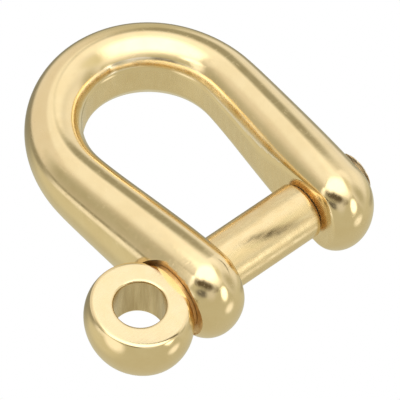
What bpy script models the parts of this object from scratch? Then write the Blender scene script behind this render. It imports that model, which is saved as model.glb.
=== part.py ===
"""Screw-pin dee shackle, 5 mm pin: a cast D-shaped body and the turned pin that closes it.

Blender 4.5 script. Units are metres and +Z is up. The shackle lies flat, as on a table: the pin's axis
runs along X with its head towards -X, and the bow points towards +Y. The origin is the middle of the
bounding box's underside.
"""

from math import cos, pi, radians, sin, sqrt

import bmesh
import bpy
from mathutils import Matrix, Vector

MM = 0.001
CLEARANCE = 0.3 * MM  # between the pin and every face of the body

# Body: a bar of oval section, thicker and taller towards the ears.
BAR_THICKNESS = 5.1 * MM  # in the plane of the D
BAR_HEIGHT = 7.0 * MM
EAR_THICKNESS = 6.3 * MM
EAR_HEIGHT = 9.3 * MM
EAR_ROUNDING = 3.2 * MM  # how far the rounded end reaches past the end of the leg's centreline
EAR_SPACING = 13.9 * MM  # between the two ears' centrelines, at the pin
LEG_SPACING = 16.2 * MM  # between the two legs' centrelines, where the bow begins
LEG_START = -1.5 * MM  # end of the legs' centrelines, measured from the pin along Y
BOW_START = 13.7 * MM  # where the bow begins, measured the same way
BOW_DEPTH = 8.7 * MM  # from there to the crown's centreline
SWELL_LENGTH = 20.0 * MM  # over which the bar grows into the ear
INSIDE_WIDTH = 9.6 * MM  # between the machined inner faces of the ears
SEAT_FACE = -9.2 * MM  # the spot face under the head of the pin, measured from the shackle's middle
SEAT_DIAMETER = 8.2 * MM

# Pin: one turned piece with two flats and a cross hole through its head.
SHANK_DIAMETER = 5.0 * MM
THREAD_DIAMETER = 4.0 * MM
SHOULDER_CHAMFER = 0.35 * MM
THREAD_CHAMFER = 0.3 * MM
PIN_END = 10.8 * MM  # how far the threaded end reaches, measured from the shackle's middle
HEAD_DIAMETER = 9.5 * MM
HEAD_LENGTH = 8.8 * MM  # of the full ball along the pin's axis, before it is cut off at the seat
HEAD_CENTRE = -12.9 * MM
HEAD_FLATS = 4.6 * MM  # over the two flats
COLLAR_DIAMETER = 6.0 * MM  # the round collar between the flats and the seat
COLLAR_LENGTH = 0.35 * MM
CROSS_HOLE_DIAMETER = 4.35 * MM
HEAD_ROLL = radians(4.0)  # where the thread stops the flats, from level

EAR_TOOL_LENGTH = 10.0 * MM  # right through one ear, and short of the other
HEAD_TOOL_REACH = 8.0 * MM  # from the middle of the head to clear of it on every side
SHARP_EDGE_ANGLE = radians(40.0)

SECTION_SIDES = 28
LEG_STATIONS = 12
BOW_STATIONS = 28
EAR_RINGS = 6
PIN_SIDES = 32
HEAD_RINGS = 12

BODY_BACK = BOW_START + BOW_DEPTH + BAR_THICKNESS / 2
BODY_FRONT = LEG_START - EAR_ROUNDING
HEAD_FRONT = HEAD_CENTRE - HEAD_LENGTH / 2
PIN_CENTRE = Vector((-(PIN_END + HEAD_FRONT) / 2, -(BODY_BACK + BODY_FRONT) / 2, EAR_HEIGHT / 2))


def clear_scene():
    """Remove every object that the file opened with."""
    for thing in list(bpy.data.objects):
        bpy.data.objects.remove(thing, do_unlink=True)


def metal(name, colour, roughness):
    """Return a metallic Principled material."""
    material = bpy.data.materials.new(name)
    material.use_nodes = True
    shader = material.node_tree.nodes["Principled BSDF"]
    shader.inputs["Base Color"].default_value = (*colour, 1.0)
    shader.inputs["Metallic"].default_value = 1.0
    shader.inputs["Roughness"].default_value = roughness
    return material


def add_object(name, mesh_data, parent=None, material=None):
    """Link a mesh to the scene under a parent."""
    thing = bpy.data.objects.new(name, mesh_data)
    bpy.context.scene.collection.objects.link(thing)
    thing.parent = parent
    if material:
        mesh_data.materials.append(material)
    return thing


def mesh_from_rings(name, rings, start, end):
    """Skin rings of points that run from one end point to the other."""
    mesh = bmesh.new()
    rows = [[mesh.verts.new(point) for point in ring] for ring in rings]
    sides = len(rows[0])
    for row, following in zip(rows, rows[1:]):
        for i in range(sides):
            j = (i + 1) % sides
            mesh.faces.new((row[i], row[j], following[j], following[i]))
    for row, point in ((rows[0], start), (rows[-1], end)):
        tip = mesh.verts.new(point)
        for i in range(sides):
            mesh.faces.new((row[i], row[(i + 1) % sides], tip))
    bmesh.ops.recalc_face_normals(mesh, faces=mesh.faces)
    data = bpy.data.meshes.new(name)
    mesh.to_mesh(data)
    mesh.free()
    return data


def swell(y):
    """Return how much of the ear's growth the bar has at a place along the leg: 0 to 1."""
    t = max(0.0, min(1.0, 1 - (y - LEG_START) / SWELL_LENGTH))
    return t * t * (3 - 2 * t)


def blend(low, high, share):
    return low + (high - low) * share


def right_half_of_centreline():
    """List the centreline's points and directions, from the right leg's end to the crown."""
    ear_x, leg_x = EAR_SPACING / 2, LEG_SPACING / 2
    start = Vector((ear_x, LEG_START, 0))
    corner = Vector((leg_x, BOW_START, 0))
    along = (corner - start).normalized()
    stations = [(start.lerp(corner, i / LEG_STATIONS), along) for i in range(LEG_STATIONS)]
    for i in range(BOW_STATIONS // 2 + 1):
        angle = pi / BOW_STATIONS * i
        point = Vector((leg_x * cos(angle), BOW_START + BOW_DEPTH * sin(angle), 0))
        heading = Vector((-leg_x * sin(angle), BOW_DEPTH * cos(angle), 0)).normalized()
        stations.append((point, heading))
    return stations


def oval_ring(centre, heading, thickness, height):
    """Return an oval ring of points, square to the heading."""
    outward = Vector((heading.y, -heading.x, 0))
    points = []
    for i in range(SECTION_SIDES):
        angle = 2 * pi * i / SECTION_SIDES
        side = outward * (thickness / 2 * cos(angle))
        points.append(centre + side + Vector((0, 0, height / 2 * sin(angle))))
    return points


def ear_end_rings(start, heading):
    """Return the rings of an ear's rounded end, from its tip to the leg, and the tip itself."""
    rings = []
    for i in range(1, EAR_RINGS):
        angle = pi / 2 * i / EAR_RINGS
        centre = start - heading * (EAR_ROUNDING * cos(angle))
        rings.append(oval_ring(centre, heading, EAR_THICKNESS * sin(angle), EAR_HEIGHT * sin(angle)))
    return rings, start - heading * EAR_ROUNDING


def mirrored(points):
    return [Vector((-point.x, point.y, point.z)) for point in points]


def body_mesh():
    """Sweep the oval section round the D, with a rounded end on each ear."""
    half = right_half_of_centreline()
    rings, tip = ear_end_rings(*half[0])
    for point, heading in half:
        share = swell(point.y)
        thickness = blend(BAR_THICKNESS, EAR_THICKNESS, share)
        height = blend(BAR_HEIGHT, EAR_HEIGHT, share)
        rings.append(oval_ring(point, heading, thickness, height))
    left = [mirrored(ring) for ring in reversed(rings[:-1])]
    return mesh_from_rings("shackle_body", rings + left, tip, mirrored([tip])[0])


def turned_mesh(name, profile):
    """Turn a profile of (x, radius) pairs about the X axis. Its first and last radius are zero."""
    rings = []
    for x, radius in profile[1:-1]:
        angles = [2 * pi * i / PIN_SIDES for i in range(PIN_SIDES)]
        rings.append([Vector((x, radius * cos(a), radius * sin(a))) for a in angles])
    start, end = profile[0][0], profile[-1][0]
    return mesh_from_rings(name, rings, Vector((start, 0, 0)), Vector((end, 0, 0)))


def ball_profile(end_x):
    """Return the head's profile, from its front end to where the collar cuts the ball off."""
    half_length, radius = HEAD_LENGTH / 2, HEAD_DIAMETER / 2
    last = (end_x - HEAD_CENTRE) / half_length
    profile = [(HEAD_FRONT, 0.0)]
    for i in range(1, HEAD_RINGS + 1):
        share = -cos(pi * i / (HEAD_RINGS + 1))
        if share < last:
            profile.append((HEAD_CENTRE + half_length * share, radius * sqrt(1 - share * share)))
    profile.append((end_x, radius * sqrt(1 - last * last)))
    return profile


def pin_mesh():
    """Turn the pin: the ball head, its collar, the shank, its shoulder and the threaded end."""
    seat_x = SEAT_FACE - CLEARANCE
    collar_x, collar = seat_x - COLLAR_LENGTH, COLLAR_DIAMETER / 2
    shoulder_x = INSIDE_WIDTH / 2 - CLEARANCE
    shank, thread = SHANK_DIAMETER / 2, THREAD_DIAMETER / 2
    profile = ball_profile(collar_x)
    profile += [(collar_x, collar), (seat_x, collar)]
    profile += [(seat_x, shank), (shoulder_x - SHOULDER_CHAMFER, shank)]
    profile += [(shoulder_x, shank - SHOULDER_CHAMFER), (shoulder_x, thread)]
    profile += [(PIN_END - THREAD_CHAMFER, thread), (PIN_END, thread - THREAD_CHAMFER), (PIN_END, 0.0)]
    return turned_mesh("screw_pin", profile)


def cut_with(target, cutter_mesh, name):
    """Cut a mesh out of the target with an exact Boolean."""
    cutter = add_object(name, cutter_mesh, target)
    cutter.hide_render = True
    cutter.display_type = "WIRE"
    boolean = target.modifiers.new(name, "BOOLEAN")
    boolean.operation = "DIFFERENCE"
    boolean.solver = "EXACT"
    boolean.object = cutter


def box_mesh(name, low, high, turn=Matrix()):
    """Return a box between two corners, then turned."""
    low, high = Vector(low), Vector(high)
    mesh = bmesh.new()
    size = Matrix.Diagonal((*(high - low), 1))
    bmesh.ops.create_cube(mesh, size=1, matrix=turn @ Matrix.Translation((low + high) / 2) @ size)
    data = bpy.data.meshes.new(name)
    mesh.to_mesh(data)
    mesh.free()
    return data


def rod_mesh(name, radius, length, turn):
    """Return a round rod about Z, centred on the origin, then turned."""
    mesh = bmesh.new()
    bmesh.ops.create_cone(
        mesh, cap_ends=True, segments=PIN_SIDES, radius1=radius, radius2=radius, depth=length, matrix=turn
    )
    data = bpy.data.meshes.new(name)
    mesh.to_mesh(data)
    mesh.free()
    return data


def shade(thing):
    """Shade smooth, with the machined edges kept sharp."""
    thing.data.shade_smooth()
    thing.data.set_sharp_from_angle(angle=SHARP_EDGE_ANGLE)


def make_body(parent, material):
    """Make the body, mill the gap between its ears, bore them and face the seat for the head."""
    body = add_object("shackle_body", body_mesh(), parent, material)
    half_gap, beyond = INSIDE_WIDTH / 2, EAR_HEIGHT
    slot = box_mesh("slot_cut", (-half_gap, -beyond, -beyond), (half_gap, BOW_START, beyond))
    cut_with(body, slot, "slot_cut")
    along_x = Matrix.Rotation(pi / 2, 4, "Y")
    for side, diameter, name in ((-1, SHANK_DIAMETER, "near_bore"), (1, THREAD_DIAMETER, "far_bore")):
        turn = Matrix.Translation((side * EAR_SPACING / 2, 0, 0)) @ along_x
        cut_with(body, rod_mesh(name, diameter / 2 + CLEARANCE, EAR_TOOL_LENGTH, turn), name)
    turn = Matrix.Translation((SEAT_FACE - EAR_THICKNESS / 2, 0, 0)) @ along_x
    cut_with(body, rod_mesh("seat_cut", SEAT_DIAMETER / 2, EAR_THICKNESS, turn), "seat_cut")
    shade(body)


def make_pin(parent, material):
    """Make the pin, mill its head's two flats and drill the cross hole."""
    pin = add_object("screw_pin", pin_mesh(), parent, material)
    reach = HEAD_TOOL_REACH
    roll = Matrix.Rotation(HEAD_ROLL, 4, "X")
    for side in (-1, 1):
        name = "lower_flat" if side < 0 else "upper_flat"
        ends = sorted((side * HEAD_FLATS / 2, side * reach))
        low = (HEAD_CENTRE - reach, -reach, ends[0])
        high = (SEAT_FACE - CLEARANCE - COLLAR_LENGTH, reach, ends[1])
        cut_with(pin, box_mesh(name, low, high, roll), name)
    place = roll @ Matrix.Translation((HEAD_CENTRE, 0, 0))
    cut_with(pin, rod_mesh("cross_hole", CROSS_HOLE_DIAMETER / 2, 2 * reach, place), "cross_hole")
    shade(pin)


def main():
    clear_scene()
    centre = bpy.data.objects.new("pin_axis_centre", None)
    bpy.context.scene.collection.objects.link(centre)
    centre.location = PIN_CENTRE
    make_body(centre, metal("polished_brass", (0.80, 0.66, 0.40), 0.12))
    make_pin(centre, metal("turned_brass", (0.78, 0.64, 0.40), 0.25))


main()
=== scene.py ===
"""Looks of the dee shackle: a polished gold body and its turned screw pin, on a white floor in soft light.

Lengths are in millimetres until a mesh is finished. Both pieces are shaped round the pin's axis: the origin
is the middle of the shackle on that axis, X runs along the pin towards its threaded end, Y towards the bow
and Z up.
"""

from math import cos, hypot, pi, radians, sin, tan

import bmesh
import bpy
import numpy as np
from mathutils import Matrix, Quaternion, Vector


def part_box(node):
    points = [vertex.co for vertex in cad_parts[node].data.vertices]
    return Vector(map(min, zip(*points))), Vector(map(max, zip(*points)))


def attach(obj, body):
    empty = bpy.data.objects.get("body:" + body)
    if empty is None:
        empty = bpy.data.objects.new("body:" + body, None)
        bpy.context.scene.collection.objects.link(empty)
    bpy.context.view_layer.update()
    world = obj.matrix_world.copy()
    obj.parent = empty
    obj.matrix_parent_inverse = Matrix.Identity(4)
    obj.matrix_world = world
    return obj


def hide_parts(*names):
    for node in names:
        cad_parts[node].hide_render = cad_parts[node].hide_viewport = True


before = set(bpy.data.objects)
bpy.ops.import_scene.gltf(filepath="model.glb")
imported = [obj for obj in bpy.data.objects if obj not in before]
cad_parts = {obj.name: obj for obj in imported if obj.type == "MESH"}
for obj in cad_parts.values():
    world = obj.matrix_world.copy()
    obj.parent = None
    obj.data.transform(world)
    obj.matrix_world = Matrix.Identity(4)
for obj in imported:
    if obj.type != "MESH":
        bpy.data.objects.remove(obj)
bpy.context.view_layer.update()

MM = 0.001

# Body, a bar of oval section that swells into the ears.
BAR = (5.1, 7.0)  # thickness in the plane of the D, and height
EAR = (6.3, 9.3)
EAR_ROUNDING = 3.2
EAR_X = 6.95  # half the distance between the ears' centrelines
LEG_X = 8.1  # the same, where the bow begins
LEG_START = -1.5
BOW_START = 13.7
BOW_DEPTH = 8.7
BOW_EASE = 0.12  # how gently the leg turns into the bow, as a share of its length
SWELL_LENGTH = 20.0
INNER_FACE = 4.8
INNER_EDGE = 0.22  # softness of the milled inner faces' edges
MILLED_END = 12.5  # where along the legs the milled faces end
MILLED_FADE = 3.0  # and the length over which they fade out
INSIDE_FLAT = 0.20  # depth of the flat that runs round the inside of the D
INSIDE_EDGE = 0.07  # softness of its edges
INSIDE_START = 3.0  # where along the legs that flat begins
INSIDE_FADE = 5.0  # and the length over which it reaches its depth
INSIDE_MIDDLE = (0, 11, 0)  # a point in the middle of the D's opening
SEAT_FACE = 9.2
SEAT_RADIUS = 3.7
BORE_EDGE = 0.12  # chamfer where the near bore meets its seat
BORE_MOUTH = 0.1  # half the length, and half the depth, of the near bore's inner chamfer
TAP_ROOM = 0.1  # between the crests of the thread and those of the tapped hole
TAP_DEPTH = 0.36  # of the tapped hole's grooves
TOOL_START = -14.0
TOOL_END = 12.5

# Pin.
SHANK_RADIUS = 2.5
SHOULDER_CHAMFER = 0.36
THREAD_RADIUS = 2.0
THREAD_DEPTH = 0.4
THREAD_PITCH = 0.7
THREAD_FLANK = 2.4  # steepness of the thread's sides
THREAD_ROOT = 0.1  # how far its roots are flattened, as a share of its depth
THREAD_RUN_IN = 0.5  # length over which the thread deepens at its start
THREAD_RUN_OUT = 0.3  # and at its end
PIN_END = 10.7
BALL_X = -12.9
BALL = (4.4, 4.75)  # half its length along the pin, and its radius
FLAT = 2.3  # half the width over the two flats
HOLE_RADIUS = 2.18
HOLE_EDGE = 0.26  # size of the rounded edges of the hole
FLAT_EDGE = 0.26  # and of the flats
CUT_EDGE = 0.04  # softness of the edge where the head is cut off square
COLLAR_RADIUS = 2.98
COLLAR_X = -9.55
COLLAR_EDGE = 0.05
HEAD_ROLL = radians(4.0)
PIN_GAP = 0.06  # round the shank in its bore
SEAT_GAP = 0.03  # between faces that bear on each other
SHOULDER_X = INNER_FACE - SEAT_GAP
ROOT_RADIUS = THREAD_RADIUS - THREAD_DEPTH

SECTION_SIDES = 176
LEG_STATIONS = 120
BOW_STATIONS = 101
CAP_STATIONS = 40
PIN_SIDES = 128
HEAD_SIDES = 224
SHARP_ANGLE = radians(28)


# ---------------------------------------------------------------- meshes


def ring_mesh(name, rings, close=False):
    """Skin an array of rings, rings x sides x 3, with quads. Open ends get a fan to their ring's middle."""
    count, sides = rings.shape[:2]
    points = rings.reshape(-1, 3)
    last = count if close else count - 1
    ring, side = np.meshgrid(np.arange(last), np.arange(sides), indexing="ij")
    start, end = ring * sides, (ring + 1) % count * sides
    beside = (side + 1) % sides
    faces = np.stack([start + side, start + beside, end + beside, end + side], -1).reshape(-1, 4).tolist()
    if not close:
        first_tip, last_tip = len(points), len(points) + 1
        points = np.vstack([points, rings[0].mean(0), rings[-1].mean(0)])
        base = (count - 1) * sides
        for side in range(sides):
            beside = (side + 1) % sides
            faces.append([beside, side, first_tip])
            faces.append([base + side, base + beside, last_tip])
    data = bpy.data.meshes.new(name)
    data.from_pydata(points.tolist(), [], faces)
    data.validate()
    return data


def add_piece(name, data):
    """Link a mesh to the scene as an object."""
    piece = bpy.data.objects.new(name, data)
    bpy.context.scene.collection.objects.link(piece)
    return piece


def combine(target, other, operation):
    """Join another object's solid to the target, or cut it out, and drop the other object."""
    boolean = target.modifiers.new("combine", "BOOLEAN")
    boolean.operation = operation
    boolean.solver = "EXACT"
    boolean.object = other
    graph = bpy.context.evaluated_depsgraph_get()
    result = bpy.data.meshes.new_from_object(target.evaluated_get(graph), depsgraph=graph)
    result.name = target.name
    target.modifiers.clear()
    target.data = result
    bpy.data.objects.remove(other)


def faces_out(data):
    """Turn every face of a closed mesh outwards."""
    mesh = bmesh.new()
    mesh.from_mesh(data)
    bmesh.ops.recalc_face_normals(mesh, faces=mesh.faces)
    mesh.to_mesh(data)
    mesh.free()


def settle(piece, centre):
    """Bring a mesh from millimetres round the pin's axis to metres in the frame, and shade it."""
    piece.data.transform(Matrix.Translation(centre) @ Matrix.Scale(MM, 4))
    piece.data.shade_smooth()
    piece.data.set_sharp_from_angle(angle=SHARP_ANGLE)


def smooth_step(value):
    """Ease from zero to one as the value does."""
    share = np.clip(value, 0, 1)
    return share * share * (3 - 2 * share)


def spread(low, high, count):
    """Evenly spaced numbers, without the last one."""
    return np.linspace(low, high, count, endpoint=False)


# ---------------------------------------------------------------- body


def leg_centre(y):
    """Place across of the leg's centreline at a place along it."""
    along = (BOW_START - y) / (BOW_START - LEG_START)
    bent = (np.sqrt(along**2 + BOW_EASE**2) - BOW_EASE) / (np.sqrt(1 + BOW_EASE**2) - BOW_EASE)
    return LEG_X - (LEG_X - EAR_X) * bent


def half_centreline():
    """Points and headings of the right half's centreline, from the end of the leg to the crown."""
    y = spread(LEG_START, BOW_START, LEG_STATIONS)
    leg = np.column_stack([leg_centre(y), y])
    angle = np.linspace(0, pi / 2, BOW_STATIONS)
    bow = np.column_stack([LEG_X * np.cos(angle), BOW_START + BOW_DEPTH * np.sin(angle)])
    points = np.vstack([leg, bow])
    heading = np.gradient(points, axis=0)
    heading /= np.linalg.norm(heading, axis=1)[:, None]
    heading[-1] = (-1, 0)
    return points, heading


def sections():
    """Centres, headings, thicknesses and heights of the right half's rings, from the ear's tip on."""
    points, heading = half_centreline()
    share = smooth_step(1 - (points[:, 1] - LEG_START) / SWELL_LENGTH)
    thickness = BAR[0] + (EAR[0] - BAR[0]) * share
    height = BAR[1] + (EAR[1] - BAR[1]) * share
    angle = np.linspace(0, pi / 2, CAP_STATIONS)[1:-1]
    cap = points[0] - heading[0] * (EAR_ROUNDING * np.cos(angle))[:, None]
    points = np.vstack([cap, points])
    heading = np.vstack([np.tile(heading[0], (len(cap), 1)), heading])
    thickness = np.concatenate([EAR[0] * np.sin(angle), thickness])
    height = np.concatenate([EAR[1] * np.sin(angle), height])
    return points, heading, thickness, height


def flatten_inside(rings, station):
    """Mill the inner face of the leg flat, with a soft edge, and leave the bow as it is."""
    beyond = rings[..., 0] - INNER_FACE
    milled = INNER_FACE + (beyond + np.sqrt(beyond**2 + INNER_EDGE**2)) / 2
    weight = smooth_step((MILLED_END - station) / MILLED_FADE)[:, None]
    rings[..., 0] += (milled - rings[..., 0]) * weight
    return rings


def body_rings():
    """The rings of the whole D, from the right ear's tip round to the left one's."""
    points, heading, thickness, height = sections()
    angle = spread(0, 2 * pi, SECTION_SIDES)
    outward = np.column_stack([heading[:, 1], -heading[:, 0]])
    across = thickness[:, None] / 2 * np.cos(angle)
    beyond = across + np.maximum(thickness[:, None] / 2 - INSIDE_FLAT, 0)
    weight = smooth_step((points[:, 1:] - INSIDE_START) / INSIDE_FADE)
    across += (np.sqrt(beyond**2 + INSIDE_EDGE**2) - beyond) / 2 * weight
    up = height[:, None] / 2 * np.sin(angle)
    flat = points[:, None, :] + outward[:, None, :] * across[..., None]
    rings = flatten_inside(np.dstack([flat, up]), points[:, 1])
    left = rings[-2::-1] * (-1, 1, 1)
    return np.vstack([rings, left])


def thread(x, angle, bottom, depth):
    """Radius of a helical thread, from its root at bottom to its crest."""
    turn = (x / THREAD_PITCH - angle / (2 * pi)) % 1
    return bottom + depth * np.clip(THREAD_FLANK * (0.5 - np.abs(turn - 0.5)) - THREAD_ROOT, 0, 1)


def turned(profile, grooves=None):
    """Rings turned about X from (x, radius) pairs. grooves is (first x, last x, root radius, depth)."""
    angle = spread(0, 2 * pi, PIN_SIDES)
    x, radius = np.array(profile, float).T
    radius = np.repeat(radius[:, None], PIN_SIDES, 1)
    if grooves:
        first, last, root, depth = grooves
        inside = (x > first) & (x < last)
        place = x[inside][:, None]
        fade = smooth_step((place - first) / THREAD_RUN_IN) * smooth_step((last - place) / THREAD_RUN_OUT)
        radius[inside] = root + (thread(place, angle, root, depth) - root) * fade
    along = np.repeat(x[:, None], PIN_SIDES, 1)
    return np.dstack([along, radius * np.cos(angle), radius * np.sin(angle)])


def steps(start, end, radius, spacing=0.07):
    """Profile points along a stretch of one radius."""
    count = max(2, int(round(abs(end - start) / spacing)))
    return [(x, radius) for x in np.linspace(start, end, count)]


def bore_tool():
    """The stepped tool that bores both ears, faces the seat and taps the far ear."""
    bore = SHANK_RADIUS + PIN_GAP
    mouth = bore + 2 * BORE_MOUTH
    tap = THREAD_RADIUS + TAP_ROOM
    profile = [(TOOL_START, SEAT_RADIUS), (-SEAT_FACE, SEAT_RADIUS), (-SEAT_FACE, bore + BORE_EDGE)]
    profile += [(-SEAT_FACE + BORE_EDGE, bore), (-INNER_FACE - BORE_MOUTH, bore)]
    profile += [(-INNER_FACE + BORE_MOUTH, mouth), (0, mouth)]
    profile += [(INNER_FACE - BORE_MOUTH, tap + SEAT_GAP), (INNER_FACE + 0.2, tap)]
    profile += steps(INNER_FACE + 0.25, 11.5, tap) + [(11.6, tap), (TOOL_END, tap)]
    rings = turned(profile, (INNER_FACE + 0.2, 11.55, tap, TAP_DEPTH))
    return add_piece("bore_tool", ring_mesh("bore_tool", rings))


def make_body(centre):
    """Build the D, bore it, and place it in the frame."""
    body = add_piece("polished_body", ring_mesh("polished_body", body_rings()))
    tool = bore_tool()
    faces_out(body.data)
    faces_out(tool.data)
    combine(body, tool, "DIFFERENCE")
    # The fourth finish paints shade into the seat and the bore, the fifth a highlight along the edges of the
    # flat inside the bow.
    finishes = (polished_gold, milled_gold, threaded_gold, painted_shade_gold, painted_highlight_gold)
    paint(body, [finish() for finish in finishes], body_slots)
    settle(body, centre)
    return body


# ---------------------------------------------------------------- pin


def bend(start, corner, end, count=7):
    """A rounded corner between two points, as a quadratic curve through count places."""
    t = np.linspace(0, 1, count)[:, None]
    return (1 - t) ** 2 * np.array(start) + 2 * t * (1 - t) * np.array(corner) + t**2 * np.array(end)


def head_profile(reach):
    """Closed (radius, height) outline of the head beside the hole, where the ball's half length is reach."""
    edge = reach * np.sqrt(1 - (FLAT / BALL[1]) ** 2)
    shoulder = FLAT - 0.75 * FLAT_EDGE
    below = reach * np.sqrt(1 - (shoulder / BALL[1]) ** 2)
    upper_hole = bend((HOLE_RADIUS, FLAT - HOLE_EDGE), (HOLE_RADIUS, FLAT), (HOLE_RADIUS + HOLE_EDGE, FLAT))
    across = np.linspace(HOLE_RADIUS + HOLE_EDGE, edge - FLAT_EDGE, 14)[1:-1]
    flat = np.column_stack([across, np.full(len(across), FLAT)])
    upper_edge = bend((edge - FLAT_EDGE, FLAT), (edge, FLAT), (below, shoulder))
    z = np.linspace(shoulder, 0, 22)[1:]
    side = np.column_stack([reach * np.sqrt(1 - (z / BALL[1]) ** 2), z])
    z = spread(0, FLAT - HOLE_EDGE, 17)
    wall = np.column_stack([np.full(len(z), HOLE_RADIUS), z])
    half = np.vstack([wall, upper_hole, flat, upper_edge, side])
    return np.vstack([half, half[-2:0:-1] * (1, -1)])


def head_rings():
    """The head as rings round its cross hole, with the seat's side cut off square."""
    rings = []
    for angle in spread(0, 2 * pi, HEAD_SIDES):
        reach = 1 / hypot(cos(angle) / BALL[0], sin(angle) / BALL[1])
        radius, height = head_profile(reach).T
        rings.append(np.column_stack([radius * cos(angle), radius * sin(angle), height]))
    rings = np.array(rings)
    room = COLLAR_X + 0.1 - BALL_X - rings[..., 0]
    rings[..., 0] += (room - np.sqrt(room**2 + CUT_EDGE**2)) / 2
    turn = np.array(Matrix.Rotation(HEAD_ROLL, 3, "X"))
    return rings @ turn.T + (BALL_X, 0, 0)


def shank_profile():
    """The collar, shank, shoulder and threaded end, from inside the head to the tip."""
    seat = -SEAT_FACE - SEAT_GAP
    chamfer, step = SHOULDER_X - SHOULDER_CHAMFER, SHANK_RADIUS - SHOULDER_CHAMFER
    rim, softened = COLLAR_RADIUS, COLLAR_RADIUS - COLLAR_EDGE
    profile = [(COLLAR_X - 0.5, 1.9), (COLLAR_X - 0.02, 2.0), (COLLAR_X, 2.05), (COLLAR_X, softened)]
    profile += bend((COLLAR_X, softened), (COLLAR_X, rim), (COLLAR_X + COLLAR_EDGE, rim), 4).tolist()
    profile += bend((seat - COLLAR_EDGE, rim), (seat, rim), (seat, softened), 4).tolist()
    profile += [(seat, SHANK_RADIUS + 0.02), (seat + 0.03, SHANK_RADIUS)]
    profile += steps(seat + 0.1, chamfer - 0.06, SHANK_RADIUS, 0.3)
    corner = (chamfer, SHANK_RADIUS)
    profile += bend((chamfer - 0.06, SHANK_RADIUS), corner, (chamfer + 0.05, SHANK_RADIUS - 0.05), 4).tolist()
    profile += [(SHOULDER_X - 0.03, step + 0.03), (SHOULDER_X, step - 0.02), (SHOULDER_X, ROOT_RADIUS + 0.05)]
    profile += steps(SHOULDER_X + 0.05, PIN_END - 0.3, ROOT_RADIUS, 0.05)
    profile += [(PIN_END - 0.28, ROOT_RADIUS), (PIN_END - 0.04, ROOT_RADIUS - 0.2)]
    profile += [(PIN_END, ROOT_RADIUS - 0.26), (PIN_END, 0.4)]
    return profile


def make_pin(centre):
    """Build the pin's turned length and its head, join them and place the pin in the frame."""
    rings = turned(shank_profile(), (SHOULDER_X + 0.04, PIN_END - 0.05, ROOT_RADIUS, THREAD_DEPTH))
    pin = add_piece("turned_pin", ring_mesh("turned_pin", rings))
    head = add_piece("pin_head", ring_mesh("pin_head", head_rings(), close=True))
    faces_out(pin.data)
    faces_out(head.data)
    combine(pin, head, "UNION")
    # The third finish paints shade and reflection bands into the cross hole, the last paints shade on the
    # collar and the shoulder.
    finishes = (polished_gold, faced_gold, painted_hole_shade, turned_gold, threaded_gold, painted_shade_gold)
    paint(pin, [finish() for finish in finishes], pin_slots)
    settle(pin, centre)
    return pin


# ---------------------------------------------------------------- materials


def new_material(name):
    """A metal, with its tree and shader."""
    material = bpy.data.materials.new(name)
    material.use_nodes = True
    tree = material.node_tree
    shader = tree.nodes["Principled BSDF"]
    shader.inputs["Metallic"].default_value = 1.0
    return material, tree, shader


def grain(tree, size, detail=2.0, stretch=(1, 1, 1)):
    """Noise from zero to one, whose spots are about size millimetres across before they are stretched."""
    place = tree.nodes.new("ShaderNodeTexCoord").outputs["Object"]
    scaled = tree.nodes.new("ShaderNodeMapping")
    scaled.inputs["Scale"].default_value = tuple(1 / (MM * size * along) for along in stretch)
    tree.links.new(place, scaled.inputs["Vector"])
    noise = tree.nodes.new("ShaderNodeTexNoise")
    noise.inputs["Scale"].default_value = 1.0
    noise.inputs["Detail"].default_value = detail
    tree.links.new(scaled.outputs["Vector"], noise.inputs["Vector"])
    return noise.outputs["Fac"]


def remap(tree, value, low, high, start=0.3, end=0.7):
    """Stretch a value from start..end to low..high, and clamp it there."""
    node = tree.nodes.new("ShaderNodeMapRange")
    for name, number in (("From Min", start), ("From Max", end), ("To Min", low), ("To Max", high)):
        node.inputs[name].default_value = number
    tree.links.new(value, node.inputs["Value"])
    return node.outputs["Result"]


def emboss(tree, shader, *layers):
    """Bump the shader's surface by layers of (height, depth in millimetres)."""
    normal = None
    for height, depth in layers:
        bump = tree.nodes.new("ShaderNodeBump")
        bump.inputs["Distance"].default_value = depth * MM
        tree.links.new(height, bump.inputs["Height"])
        if normal:
            tree.links.new(normal, bump.inputs["Normal"])
        normal = bump.outputs["Normal"]
    tree.links.new(normal, shader.inputs["Normal"])


def scratches(tree, size, stretch, share):
    """Sparse hairlines: one on a line, zero between."""
    return remap(tree, grain(tree, size, 1.0, stretch), 0, 1, 1 - share, 1 - share + 0.04)


GOLD = (0.87, 0.71, 0.43)
OLD_GOLD = (0.80, 0.62, 0.34)
PALE_GOLD = (0.91, 0.77, 0.52)


def tinted(tree, shader, share, first, second):
    """Vary the metal's colour between two tones."""
    tree.links.new(blend_colour(tree, share, first, second), shader.inputs["Base Color"])


def polished_gold():
    """Tumbled and plated: mirror-like, with slow waves, faint haze and a few handling marks."""
    material, tree, shader = new_material("polished_gold")
    tinted(tree, shader, remap(tree, grain(tree, 1.6, 4.0), 0, 0.45), GOLD, OLD_GOLD)
    haze = remap(tree, grain(tree, 0.9, 5.0), 0.07, 0.17)
    across, along = scratches(tree, 0.12, (9, 1, 3), 0.34), scratches(tree, 0.14, (1, 12, 2), 0.33)
    marks = calculate(tree, "MAXIMUM", across, along)
    tree.links.new(calculate(tree, "MULTIPLY_ADD", marks, 0.12, haze), shader.inputs["Roughness"])
    emboss(tree, shader, (grain(tree, 2.6, 1.0), 0.016), (grain(tree, 0.30, 3.0), 0.0016), (marks, -0.0008))
    return material


def milled_gold():
    """The ears' inner faces and the flat inside the bow: duller, with faint upright tool marks."""
    material, tree, shader = new_material("milled_gold")
    tone = grain(tree, 0.7, 4.0, (1, 0.6, 2.5))
    tinted(tree, shader, remap(tree, tone, 0, 0.6), GOLD, OLD_GOLD)
    lines = grain(tree, 0.10, 2.0, (1, 1, 14))
    tree.links.new(remap(tree, lines, 0.2, 0.34), shader.inputs["Roughness"])
    emboss(tree, shader, (lines, 0.0016), (tone, 0.004))
    return material


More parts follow.
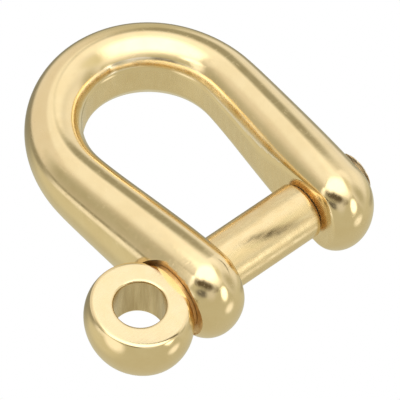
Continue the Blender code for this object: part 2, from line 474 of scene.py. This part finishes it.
def turned_gold():
    """The lathe-turned shank: fine rings round it and mottled bands along it."""
    material, tree, shader = new_material("turned_gold")
    mottle = grain(tree, 0.55, 5.0, (2.4, 0.7, 0.7))
    tinted(tree, shader, remap(tree, mottle, 0, 0.9), GOLD, OLD_GOLD)
    rings = grain(tree, 0.09, 2.0, (1, 30, 30))
    tree.links.new(remap(tree, mottle, 0.15, 0.36), shader.inputs["Roughness"])
    emboss(tree, shader, (rings, 0.0022), (mottle, 0.014))
    return material


def faced_gold():
    """The head's flats: machined across, satin."""
    material, tree, shader = new_material("faced_gold")
    tone = grain(tree, 0.9, 4.0)
    tinted(tree, shader, remap(tree, tone, 0, 0.5), GOLD, PALE_GOLD)
    lines = grain(tree, 0.08, 2.0, (16, 1, 1))
    tree.links.new(remap(tree, lines, 0.18, 0.30), shader.inputs["Roughness"])
    emboss(tree, shader, (lines, 0.0012), (tone, 0.006))
    return material


def painted_hole_shade():
    """The cross hole: drilled, with painted shade making it darker and painted reflection bands as streaks
    down its wall.
    """
    material, tree, shader = new_material("painted_hole_shade")
    reflection_bands = grain(tree, 0.45, 3.0, (1, 1, 12))
    tinted(tree, shader, remap(tree, reflection_bands, 0, 1), (0.52, 0.39, 0.20), (0.78, 0.63, 0.38))
    tree.links.new(remap(tree, reflection_bands, 0.16, 0.32), shader.inputs["Roughness"])
    emboss(tree, shader, (reflection_bands, 0.010))
    return material


def painted_highlight_gold():
    """The edges of the flat inside the bow, painted pale as a highlight."""
    material, tree, shader = new_material("painted_highlight_gold")
    tone = grain(tree, 0.8, 4.0)
    tinted(tree, shader, remap(tree, tone, 0, 1), PALE_GOLD, (0.94, 0.85, 0.66))
    tree.links.new(remap(tree, tone, 0.12, 0.22), shader.inputs["Roughness"])
    emboss(tree, shader, (tone, 0.004))
    return material


def threaded_gold():
    """The thread and its tapped hole: duller, with grey-brown patches."""
    material, tree, shader = new_material("threaded_gold")
    shader.inputs["Metallic"].default_value = 0.8
    blotches = grain(tree, 0.35, 4.0)
    tinted(tree, shader, remap(tree, blotches, 0, 1), (0.60, 0.50, 0.36), (0.86, 0.74, 0.52))
    tree.links.new(remap(tree, blotches, 0.22, 0.42), shader.inputs["Roughness"])
    emboss(tree, shader, (grain(tree, 0.12, 3.0), 0.003))
    return material


def painted_shade_gold():
    """Seats, collar and grooves, painted a blotchy dark brown as shade where the parts meet."""
    material, tree, shader = new_material("painted_shade_gold")
    shader.inputs["Metallic"].default_value = 0.8
    blotches = grain(tree, 0.5, 4.0)
    tinted(tree, shader, remap(tree, blotches, 0, 1), (0.62, 0.38, 0.14), (0.78, 0.55, 0.26))
    tree.links.new(remap(tree, blotches, 0.5, 0.3), shader.inputs["Roughness"])
    emboss(tree, shader, (grain(tree, 0.15, 3.0), 0.003))
    return material


def paint(piece, materials, choose):
    """Give each face of a piece the material that choose returns for its middle and normal."""
    data = piece.data
    data.materials.clear()
    for material in materials:
        data.materials.append(material)
    middle = np.empty(3 * len(data.polygons), np.float32)
    normal = np.empty_like(middle)
    data.polygons.foreach_get("center", middle)
    data.polygons.foreach_get("normal", normal)
    slots = choose(middle.reshape(-1, 3), normal.reshape(-1, 3))
    data.polygons.foreach_set("material_index", slots.astype(np.int32))
    data.update()


def body_slots(middle, normal):
    """Polish 0, milled 1, thread 2, seat and bore with painted shade 3, inside flat's edges with a painted
    highlight 4, in mm round the pin's axis.
    """
    x, reach = middle[:, 0], np.hypot(middle[:, 1], middle[:, 2])
    slots = np.zeros(len(middle))
    slots[(np.abs(np.abs(x) - INNER_FACE) < 0.05) & (np.abs(normal[:, 0]) > 0.9)] = 1
    inward = ((INSIDE_MIDDLE - middle) * normal).sum(1) > 0
    inside, tilt = inward & (middle[:, 1] > INSIDE_START), np.abs(normal[:, 2])
    # Painted highlight: the rounded edges of the inside flat get a pale gold.
    slots[inside & (tilt > 0.30) & (tilt < 0.55)] = 4
    slots[inside & (tilt < 0.03)] = 1
    # Painted shade: the near bore and the seat's face get dark brown, where the collar and shank sit.
    slots[(x < -INNER_FACE) & (reach < SHANK_RADIUS + 0.3)] = 3
    slots[(np.abs(x + SEAT_FACE) < 0.05) & (reach < SEAT_RADIUS)] = 3
    slots[(x > INNER_FACE) & (reach < THREAD_RADIUS + 0.12)] = 2
    return slots


def pin_slots(middle, normal):
    """Polish 0, flats 1, hole with painted shade and reflection bands 2, shank 3, thread 4, painted shade 5,
    in millimetres round the pin's axis.
    """
    x = middle[:, 0]
    turn = np.array(Matrix.Rotation(-HEAD_ROLL, 3, "X"))
    local, facing = (middle - (BALL_X, 0, 0)) @ turn.T, normal @ turn.T
    slots = np.zeros(len(middle))
    slots[(np.abs(facing[:, 2]) > 0.99) & (np.abs(local[:, 2]) > FLAT - 0.02)] = 1
    in_hole = np.hypot(local[:, 0], local[:, 1]) < HOLE_RADIUS + 0.02
    # Painted shade and reflection bands: the wall of the cross hole.
    slots[in_hole & (np.abs(local[:, 2]) < FLAT - HOLE_EDGE)] = 2
    # Painted shade: the collar's faces and grooves and the shoulder get dark brown, where they meet the ears.
    slots[(x > COLLAR_X - 0.1) & (facing[:, 0] > 0.8)] = 5
    slots[x > COLLAR_X + 0.01] = 3
    slots[(x > COLLAR_X + 0.01) & (x < -SEAT_FACE)] = 5
    slots[x > SHOULDER_X - SHOULDER_CHAMFER] = 5
    slots[x > INNER_FACE - 0.05] = 4
    return slots


# ---------------------------------------------------------------- stage

# Soft oval panels and gaps of a light tent, as the metal reflects them: place (compass bearing, elevation),
# half width and half height, lean, all in degrees, then softness, tint and brightness. Bearing 0 is +Y and 90
# is +X. A later panel covers an earlier one.
TABLE = (1.0, 0.97, 0.76)
CLOTH = (1.0, 0.985, 0.93)
WARM = (1.0, 0.95, 0.86)
PANELS = (
    ("sky", (-140, 84), (58, 50), 0, 0.35, CLOTH, 1.3),
    ("front", (-178, 46), (36, 28), 0, 0.35, CLOTH, 1.2),
    ("key", (-130, 66), (46, 30), 0, 0.4, CLOTH, 2.1),
    ("left_band", (-124, 8), (19, 8), 0, 0.5, WARM, 0.17),
    ("left_low", (-152, 10), (14, 14), 0, 0.6, CLOTH, 0.78),
    ("back_rim", (-27, 12), (49, 44), 0, 0.06, WARM, 0.66),
    ("back", (-14, 18), (42, 39), 0, 0.25, WARM, 0.9),
    ("back_left", (-56, 10), (12, 18), 0, 0.9, TABLE, 0.5),
    ("back_top", (-14, 50), (34, 9), 0, 0.6, CLOTH, 1.1),
    ("right", (100, 14), (53, 54), 0, 0.08, CLOTH, 0.96),
    ("right_top", (70, 52), (34, 13), 0, 0.7, CLOTH, 1.16),
    ("seam", (47, 30), (9, 19), 20, 0.5, TABLE, 0.4),
    ("right_low", (92, 10), (22, 12), 0, 0.9, CLOTH, 1.08),
    ("right_shade", (134, 0), (13, 26), -8, 0.8, TABLE, 0.56),
    ("right_foot", (104, -34), (34, 14), 0, 0.6, TABLE, 0.66),
    ("arc", (143, 45), (22, 9), -52, 0.7, TABLE, 0.85),
    ("left_floor", (-62, -37), (28, 14), 0, 0.6, TABLE, 0.74),
    ("horizon_glow", (-60, -18), (20, 4), -14, 0.6, CLOTH, 1.1),
    ("horizon", (-63, -10), (20, 2.4), -14, 0.6, TABLE, 0.36),
    ("back_gap", (-28, -24), (24, 6), -14, 0.6, TABLE, 0.36),
    ("far_floor", (22, -36), (36, 16), 0, 0.5, TABLE, 0.3),
    ("right_gap", (82, -41), (20, 4), 8, 0.6, TABLE, 0.42),
    ("left_strip", (-77, 22), (8, 15), 0, 0.5, CLOTH, 1.3),
    ("left_wedge", (-84, 29), (13, 5), 0, 0.5, CLOTH, 2.0),
    ("left_window", (-88, -16), (18, 17), 0, 0.35, CLOTH, 1.25),
    ("right_window", (167, -3), (10, 14), 0, 0.35, CLOTH, 2.1),
    ("low_window", (157, -35), (10, 7), 0, 0.5, CLOTH, 1.2),
)
TABLE_LIGHT = 0.62
FLOOR_REACH = 600.0


def glowing(name, colour, strength):
    """A plain material that reflects nothing and glows."""
    material, tree, shader = new_material(name)
    shader.inputs["Metallic"].default_value = 0.0
    shader.inputs["Base Color"].default_value = (0, 0, 0, 1)
    shader.inputs["Specular IOR Level"].default_value = 0.0
    shader.inputs["Emission Color"].default_value = (*colour, 1)
    shader.inputs["Emission Strength"].default_value = strength
    return material, tree, shader


def make_floor():
    """A wide white floor under the shackle, so bright that no shadow shows on it."""
    reach = FLOOR_REACH * MM
    data = bpy.data.meshes.new("floor")
    corners = [(-reach, -reach, 0), (reach, -reach, 0), (reach, reach, 0), (-reach, reach, 0)]
    data.from_pydata(corners, [], [(0, 1, 2, 3)])
    floor = add_piece("floor", data)
    data.materials.append(glowing("white_floor", (1, 1, 1), 1.0)[0])
    floor.visible_glossy = False
    floor.visible_diffuse = False
    floor.visible_shadow = False


CARD_DIRECTION = (-138, 41)  # bearing and elevation, from each ear
CARD_DISTANCE = 9.0
CARD_SIZE = (7.4, 1.9)  # half its length and half its width
CARD_LEAN = radians(-17)
CARD_SOFTNESS = 0.65  # share of its reach over which it fades away


def dark_card():
    """A dark cloth whose edge fades away unevenly."""
    material, tree, shader = glowing("dark_card", (1, 0.8, 0.5), 0.12)
    place = tree.nodes.new("ShaderNodeTexCoord").outputs["Object"]
    axes = ((1 / CARD_SIZE[0], 0, 0), (0, 1 / CARD_SIZE[1], 0))
    along, across = (measure(tree, place, axis) for axis in axes)
    squares = (calculate(tree, "MULTIPLY", side, side) for side in (along, across))
    squares = calculate(tree, "ADD", *squares)
    reach = calculate(tree, "DIVIDE", calculate(tree, "SQRT", squares), MM)
    ragged = calculate(tree, "ADD", reach, remap(tree, grain(tree, 2.5, 2.0), -0.2, 0.2))
    tree.links.new(remap(tree, ragged, 1, 0, 1 - CARD_SOFTNESS, 1), shader.inputs["Alpha"])
    return material


def make_cards(centre):
    """A long dark card in front of each ear, as a photographer sets to define a shiny round end."""
    bearing, elevation = (radians(angle) for angle in CARD_DIRECTION)
    towards = Vector((sin(bearing) * cos(elevation), cos(bearing) * cos(elevation), sin(elevation)))
    angle = spread(0, 2 * pi, 48)
    rim = np.column_stack([CARD_SIZE[0] * np.cos(angle), CARD_SIZE[1] * np.sin(angle), 0 * angle])
    material = dark_card()
    for side, name in ((-1, "near_card"), (1, "far_card")):
        data = bpy.data.meshes.new(name)
        data.from_pydata((rim * MM).tolist(), [], [list(range(len(rim)))])
        data.materials.append(material)
        card = add_piece(name, data)
        card.location = centre + (Vector((side * EAR_X, 0, 0)) + towards * CARD_DISTANCE) * MM
        card.rotation_mode = "QUATERNION"
        card.rotation_quaternion = towards.to_track_quat("Z", "Y") @ Quaternion((0, 0, 1), CARD_LEAN)
        card.visible_camera = False
        card.visible_shadow = False


def calculate(tree, operation, *values):
    """Add a Math node over sockets or numbers, and return its result."""
    node = tree.nodes.new("ShaderNodeMath")
    node.operation = operation
    for socket, value in zip(node.inputs, values):
        if isinstance(value, (int, float)):
            socket.default_value = value
        else:
            tree.links.new(value, socket)
    return node.outputs[0]


def oval(tree, direction, place, size, lean, softness):
    """One inside an oval patch of the sky, and zero outside, with a soft step between."""
    turn = Matrix.Rotation(radians(lean), 3, "Y") @ Matrix.Rotation(radians(-place[1]), 3, "X")
    turn = turn @ Matrix.Rotation(radians(place[0]), 3, "Z")
    across, ahead, up = (measure(tree, direction, axis) for axis in turn)
    scale = calculate(tree, "DIVIDE", 1.0, calculate(tree, "ADD", ahead, 1.000001))
    width, height = (calculate(tree, "MULTIPLY", scale, 1 / tan(radians(half) / 2)) for half in size)
    width, height = calculate(tree, "MULTIPLY", width, across), calculate(tree, "MULTIPLY", height, up)
    squares = (calculate(tree, "POWER", side, 2.0) for side in (width, height))
    squares = calculate(tree, "ADD", *squares)
    node = tree.nodes.new("ShaderNodeMapRange")
    node.interpolation_type = "SMOOTHSTEP"
    node.inputs["From Min"].default_value = 1 + softness
    node.inputs["From Max"].default_value = 1 - softness
    tree.links.new(calculate(tree, "SQRT", squares), node.inputs["Value"])
    return node.outputs["Result"]


def measure(tree, direction, axis):
    """How far a direction goes along an axis."""
    node = tree.nodes.new("ShaderNodeVectorMath")
    node.operation = "DOT_PRODUCT"
    node.inputs[1].default_value = axis
    tree.links.new(direction, node.inputs[0])
    return node.outputs["Value"]


def blend_colour(tree, share, first, second):
    """Mix two colours, each a socket or three numbers."""
    node = tree.nodes.new("ShaderNodeMix")
    node.data_type = "RGBA"
    tree.links.new(share, node.inputs["Factor"])
    for socket, value in ((node.inputs["A"], first), (node.inputs["B"], second)):
        if isinstance(value, tuple):
            socket.default_value = (*value, 1)
        else:
            tree.links.new(value, socket)
    return node.outputs["Result"]


def make_world():
    """A light tent of soft panels, which the metal reflects. The camera sees it plain white."""
    world = bpy.data.worlds.new("studio")
    bpy.context.scene.world = world
    world.use_nodes = True
    tree = world.node_tree
    direction = tree.nodes.new("ShaderNodeTexCoord").outputs["Generated"]
    colour = tuple(TABLE_LIGHT * part for part in TABLE)
    for name, place, size, lean, softness, tint, strength in PANELS:
        share = oval(tree, direction, place, size, lean, softness)
        colour = blend_colour(tree, share, colour, tuple(strength * part for part in tint))
    seen = tree.nodes.new("ShaderNodeLightPath").outputs["Is Camera Ray"]
    colour = blend_colour(tree, seen, colour, (1.0, 1.0, 1.0))
    tree.links.new(colour, tree.nodes["Background"].inputs["Color"])


# ---------------------------------------------------------------- camera

VIEW_AZIMUTH = radians(-39.8)
VIEW_ELEVATION = radians(53.2)
VIEW_DISTANCE = 410.7
LENS = 443.5
TARGET_Y = 9.24  # on the middle line, from the pin's axis
TARGET_RIGHT = 0.97
TARGET_DOWN = 2.59


def make_camera(centre):
    """A long lens that looks down on the shackle from the side of the pin's head."""
    a, e = VIEW_AZIMUTH, VIEW_ELEVATION
    back = Vector((sin(a) * cos(e), -cos(a) * cos(e), sin(e)))
    right = Vector((cos(a), sin(a), 0))
    up = back.cross(right)
    target = Vector((0, TARGET_Y, 0)) + right * TARGET_RIGHT - up * TARGET_DOWN
    data = bpy.data.cameras.new("camera")
    data.lens = LENS
    data.sensor_width = 36
    data.clip_start, data.clip_end = 0.01, 5
    camera = bpy.data.objects.new("camera", data)
    bpy.context.scene.collection.objects.link(camera)
    camera.location = centre + (target + back * VIEW_DISTANCE) * MM
    camera.rotation_mode = "QUATERNION"
    camera.rotation_quaternion = back.to_track_quat("Z", "Y")
    bpy.context.scene.camera = camera


def pin_centre():
    """The middle of the shackle on the pin's axis: the frame gives the axis and the body's middle."""
    body_low, body_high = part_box("shackle_body")
    pin_low, pin_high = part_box("screw_pin")
    across = (body_low.x + body_high.x) / 2
    return Vector((across, (pin_low.y + pin_high.y) / 2, (pin_low.z + pin_high.z) / 2))


def main():
    centre = pin_centre()
    body = make_body(centre)
    pin = make_pin(centre)
    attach(body, "shackle")
    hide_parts("shackle_body")
    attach(pin, "pin")
    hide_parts("screw_pin")
    make_floor()
    make_cards(centre)
    make_world()
    make_camera(centre)
    bpy.context.scene.view_settings.view_transform = "Standard"


main()
